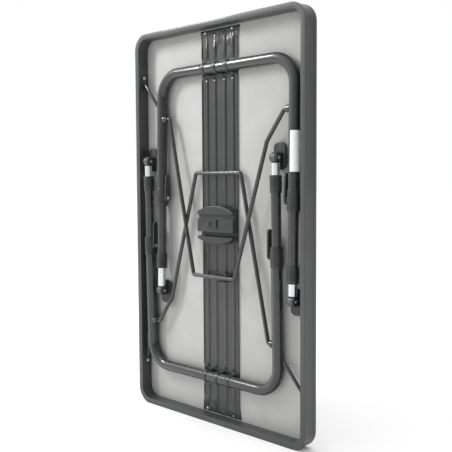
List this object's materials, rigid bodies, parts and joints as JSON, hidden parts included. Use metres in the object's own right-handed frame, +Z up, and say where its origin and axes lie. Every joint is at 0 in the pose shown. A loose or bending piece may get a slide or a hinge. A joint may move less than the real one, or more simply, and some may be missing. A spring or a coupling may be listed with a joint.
{
  "type": "folding table",
  "caption": "Rectangular folding table with height-adjustable tubular legs and a centre lock, folded flat and stood on one short edge",
  "frame": {"origin": "middle of the bottom of the folded table as it stands on its short edge", "axes": "+Z up along the table's length, +X across its width, -Y out of its underside, where the folded legs lie"},
  "size_m": [0.7, 0.0558, 1.2],
  "materials": {
    "panel": "fine matt light grey sheet",
    "frame_paint": "anthracite semi-matt powder coat",
    "leg_paint": "anthracite satin powder coat",
    "dark_plastic": "dark grey moulded nylon",
    "bright_metal": "bright drawn and polished",
    "label": "plain white self-adhesive film"
  },
  "bodies": {
    "table": {"panel": "panel", "end_rail_top": "frame_paint", "end_rail_bottom": "frame_paint", "side_rail_left": "frame_paint", "side_rail_right": "frame_paint", "spine": "frame_paint", "hinge_saddle_a": "frame_paint", "hinge_saddle_b": "frame_paint", "lock_base": "dark_plastic", "lock_spring": "bright_metal", "hinge_rivet_top_left": "bright_metal", "hinge_rivet_top_right": "bright_metal", "hinge_rivet_bottom_left": "bright_metal", "hinge_rivet_bottom_right": "bright_metal"},
    "lock_slider": {"lock_slider": "dark_plastic"},
    "leg_a": {"leg_frame_a": "leg_paint", "stay_a_inner": "leg_paint", "stay_a_outer": "leg_paint", "clamp_a_inner": "dark_plastic", "clamp_a_outer": "dark_plastic", "lever_rivet_a_inner": "bright_metal", "lever_rivet_a_outer": "bright_metal", "label": "label"},
    "brace_a": {"brace_a": "leg_paint"},
    "leg_b": {"leg_frame_b": "leg_paint", "stay_b_inner": "leg_paint", "stay_b_outer": "leg_paint", "clamp_b_inner": "dark_plastic", "clamp_b_outer": "dark_plastic", "lever_rivet_b_inner": "bright_metal", "lever_rivet_b_outer": "bright_metal"},
    "brace_b": {"brace_b": "leg_paint"},
    "lever_a_inner": {"clamp_lever_a_inner": "dark_plastic"},
    "extension_a_inner": {"extension_a_inner": "leg_paint"},
    "collar_a_inner": {"collar_a_inner": "dark_plastic"},
    "foot_tube_a_inner": {"foot_tube_a_inner": "bright_metal", "ankle_a_inner": "dark_plastic", "ankle_pin_a_inner": "bright_metal"},
    "foot_a_inner": {"foot_a_inner": "dark_plastic"},
    "lever_a_outer": {"clamp_lever_a_outer": "dark_plastic"},
    "extension_a_outer": {"extension_a_outer": "leg_paint"},
    "collar_a_outer": {"collar_a_outer": "dark_plastic"},
    "foot_tube_a_outer": {"foot_tube_a_outer": "bright_metal", "ankle_a_outer": "dark_plastic", "ankle_pin_a_outer": "bright_metal"},
    "foot_a_outer": {"foot_a_outer": "dark_plastic"},
    "lever_b_inner": {"clamp_lever_b_inner": "dark_plastic"},
    "extension_b_inner": {"extension_b_inner": "leg_paint"},
    "collar_b_inner": {"collar_b_inner": "dark_plastic"},
    "foot_tube_b_inner": {"foot_tube_b_inner": "bright_metal", "ankle_b_inner": "dark_plastic", "ankle_pin_b_inner": "bright_metal"},
    "foot_b_inner": {"foot_b_inner": "dark_plastic"},
    "lever_b_outer": {"clamp_lever_b_outer": "dark_plastic"},
    "extension_b_outer": {"extension_b_outer": "leg_paint"},
    "collar_b_outer": {"collar_b_outer": "dark_plastic"},
    "foot_tube_b_outer": {"foot_tube_b_outer": "bright_metal", "ankle_b_outer": "dark_plastic", "ankle_pin_b_outer": "bright_metal"},
    "foot_b_outer": {"foot_b_outer": "dark_plastic"}
  },
  "joints": [
    {"name": "leg_a_fold", "type": "hinge", "parent": "table", "child": "leg_a", "pos_m": [0, 0.0002, 1.065], "axis": [-1, 0, 0], "range_deg": [0, 98]},
    {"name": "leg_b_fold", "type": "hinge", "parent": "table", "child": "leg_b", "pos_m": [0, 0.0002, 0.135], "axis": [1, 0, 0], "range_deg": [0, 98]},
    {"name": "brace_a_swing", "type": "hinge", "parent": "leg_a", "child": "brace_a", "pos_m": [0, -0.00224, 0.92502], "axis": [-1, 0, 0], "range_deg": [-115.7, 0]},
    {"name": "brace_b_swing", "type": "hinge", "parent": "leg_b", "child": "brace_b", "pos_m": [0, -0.00224, 0.27498], "axis": [1, 0, 0], "range_deg": [-114.69, 0]},
    {"name": "lever_a_inner_turn", "type": "hinge", "parent": "leg_a", "child": "lever_a_inner", "pos_m": [-0.24, -0.00657, 0.67706], "axis": [1, 0, 0], "range_deg": [0, 170]},
    {"name": "extension_a_inner_slide", "type": "slide", "parent": "leg_a", "child": "extension_a_inner", "axis": [0, -0.0175, -0.9998], "range_m": [-0.14, 0]},
    {"name": "collar_a_inner_twist", "type": "hinge", "parent": "extension_a_inner", "child": "collar_a_inner", "pos_m": [-0.24, -0.01006, 0.47709], "axis": [0, -0.0175, -0.9998], "range_deg": [0, 90]},
    {"name": "foot_tube_a_inner_slide", "type": "slide", "parent": "extension_a_inner", "child": "foot_tube_a_inner", "axis": [0, -0.0175, -0.9998], "range_m": [-0.037, 0.01]},
    {"name": "foot_a_inner_swivel", "type": "hinge", "parent": "foot_tube_a_inner", "child": "foot_a_inner", "pos_m": [-0.24, -0.01175, 0.3801], "axis": [-1, 0, 0], "range_deg": [0, 99.1]},
    {"name": "lever_a_outer_turn", "type": "hinge", "parent": "leg_a", "child": "lever_a_outer", "pos_m": [0.3, -0.00657, 0.67706], "axis": [1, 0, 0], "range_deg": [0, 170]},
    {"name": "extension_a_outer_slide", "type": "slide", "parent": "leg_a", "child": "extension_a_outer", "axis": [0, -0.0175, -0.9998], "range_m": [-0.14, 0]},
    {"name": "collar_a_outer_twist", "type": "hinge", "parent": "extension_a_outer", "child": "collar_a_outer", "pos_m": [0.3, -0.01006, 0.47709], "axis": [0, -0.0175, -0.9998], "range_deg": [0, 90]},
    {"name": "foot_tube_a_outer_slide", "type": "slide", "parent": "extension_a_outer", "child": "foot_tube_a_outer", "axis": [0, -0.0175, -0.9998], "range_m": [-0.012, 0.04]},
    {"name": "foot_a_outer_swivel", "type": "hinge", "parent": "foot_tube_a_outer", "child": "foot_a_outer", "pos_m": [0.3, -0.01132, 0.4051], "axis": [-1, 0, 0], "range_deg": [0, 99.1]},
    {"name": "lever_b_inner_turn", "type": "hinge", "parent": "leg_b", "child": "lever_b_inner", "pos_m": [0.24, -0.00657, 0.52294], "axis": [1, 0, 0], "range_deg": [0, 170]},
    {"name": "extension_b_inner_slide", "type": "slide", "parent": "leg_b", "child": "extension_b_inner", "axis": [0, -0.0175, 0.9998], "range_m": [-0.14, 0]},
    {"name": "collar_b_inner_twist", "type": "hinge", "parent": "extension_b_inner", "child": "collar_b_inner", "pos_m": [0.24, -0.01006, 0.72291], "axis": [0, -0.0175, 0.9998], "range_deg": [0, 90]},
    {"name": "foot_tube_b_inner_slide", "type": "slide", "parent": "extension_b_inner", "child": "foot_tube_b_inner", "axis": [0, -0.0175, 0.9998], "range_m": [-0.012, 0.04]},
    {"name": "foot_b_inner_swivel", "type": "hinge", "parent": "foot_tube_b_inner", "child": "foot_b_inner", "pos_m": [0.24, -0.01132, 0.7949], "axis": [1, 0, 0], "range_deg": [0, 99.1]},
    {"name": "lever_b_outer_turn", "type": "hinge", "parent": "leg_b", "child": "lever_b_outer", "pos_m": [-0.3, -0.00657, 0.52294], "axis": [1, 0, 0], "range_deg": [0, 170]},
    {"name": "extension_b_outer_slide", "type": "slide", "parent": "leg_b", "child": "extension_b_outer", "axis": [0, -0.0175, 0.9998], "range_m": [-0.14, 0]},
    {"name": "collar_b_outer_twist", "type": "hinge", "parent": "extension_b_outer", "child": "collar_b_outer", "pos_m": [-0.3, -0.01006, 0.72291], "axis": [0, -0.0175, 0.9998], "range_deg": [0, 90]},
    {"name": "foot_tube_b_outer_slide", "type": "slide", "parent": "extension_b_outer", "child": "foot_tube_b_outer", "axis": [0, -0.0175, 0.9998], "range_m": [-0.012, 0.04]},
    {"name": "foot_b_outer_swivel", "type": "hinge", "parent": "foot_tube_b_outer", "child": "foot_b_outer", "pos_m": [-0.3, -0.01132, 0.7949], "axis": [1, 0, 0], "range_deg": [0, 99.1]},
    {"name": "lock_slider_slide", "type": "slide", "parent": "table", "child": "lock_slider", "axis": [1, 0, 0], "range_m": [0, 0.008], "stiffness_N_per_m": 150, "springref_m": -0.004}
  ],
  "couplings": [
    {"joint": "brace_a_swing", "follows": "leg_a_fold", "ratio": -1.1755},
    {"joint": "brace_b_swing", "follows": "leg_a_fold", "ratio": -1.1652},
    {"joint": "leg_b_fold", "follows": "leg_a_fold", "ratio": 1},
    {"joint": "foot_a_inner_swivel", "follows": "leg_a_fold", "ratio": 1.0102},
    {"joint": "foot_a_outer_swivel", "follows": "leg_a_fold", "ratio": 1.0102},
    {"joint": "foot_b_inner_swivel", "follows": "leg_a_fold", "ratio": 1.0102},
    {"joint": "foot_b_outer_swivel", "follows": "leg_a_fold", "ratio": 1.0102}
  ]
}
